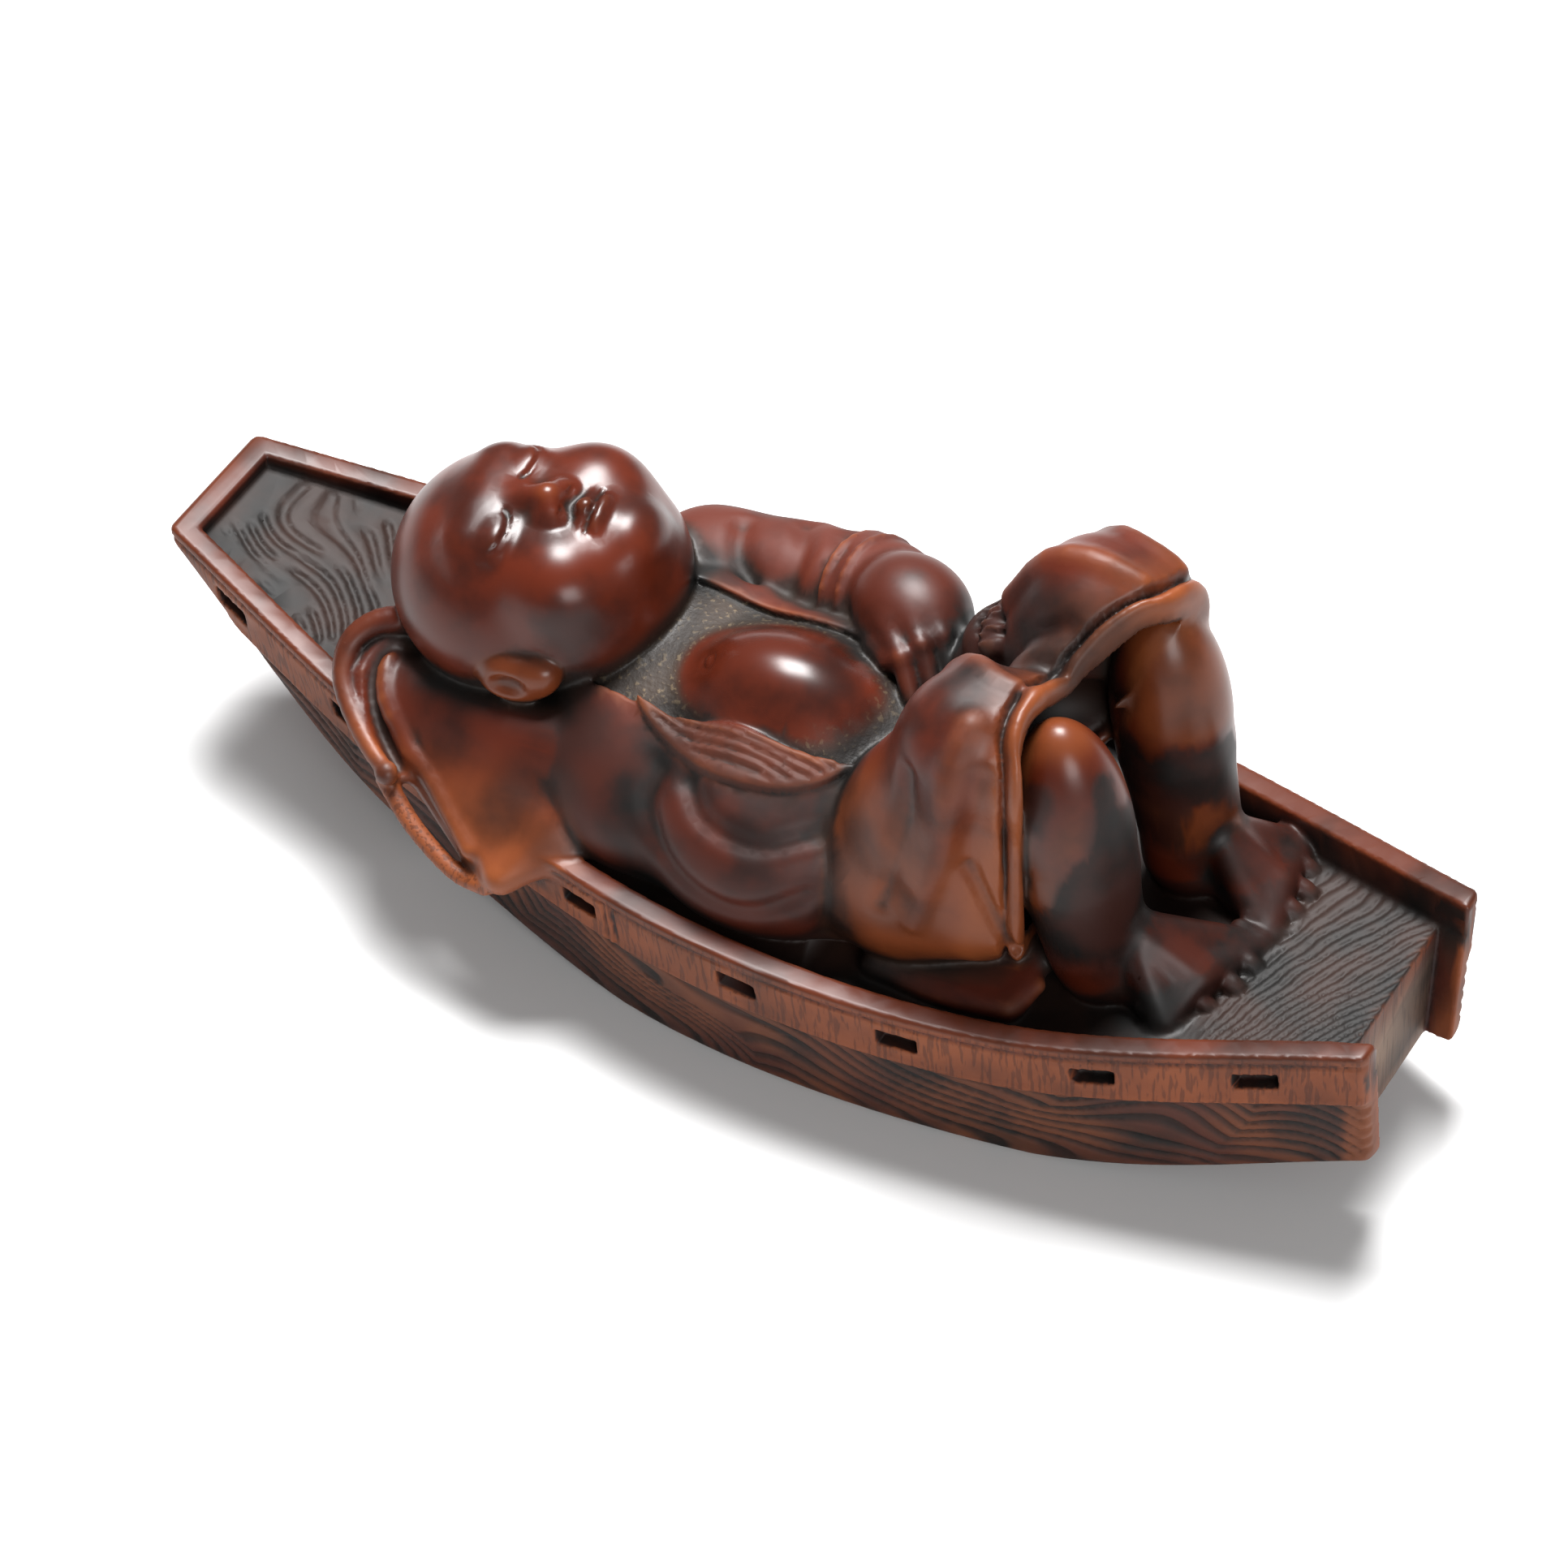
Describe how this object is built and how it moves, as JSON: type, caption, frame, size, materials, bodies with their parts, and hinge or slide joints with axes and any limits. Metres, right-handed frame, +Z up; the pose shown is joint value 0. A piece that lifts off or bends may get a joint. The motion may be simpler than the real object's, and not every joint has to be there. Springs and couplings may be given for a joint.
{
  "type": "netsuke",
  "caption": "Carved boxwood netsuke of a stout man asleep on his back in a flat river boat, with knees raised.",
  "frame": {"origin": "middle of the flat under the boat, on the surface that it rests on", "axes": "+X along the boat towards the stern, +Y to the far side of the picture, +Z up"},
  "size_m": [0.06, 0.0225, 0.0237],
  "materials": {
    "boxwood": "stained dark red-brown and hand polished, matt in the recesses"
  },
  "bodies": {
    "root": {"netsuke": "boxwood"}
  },
  "joints": []
}
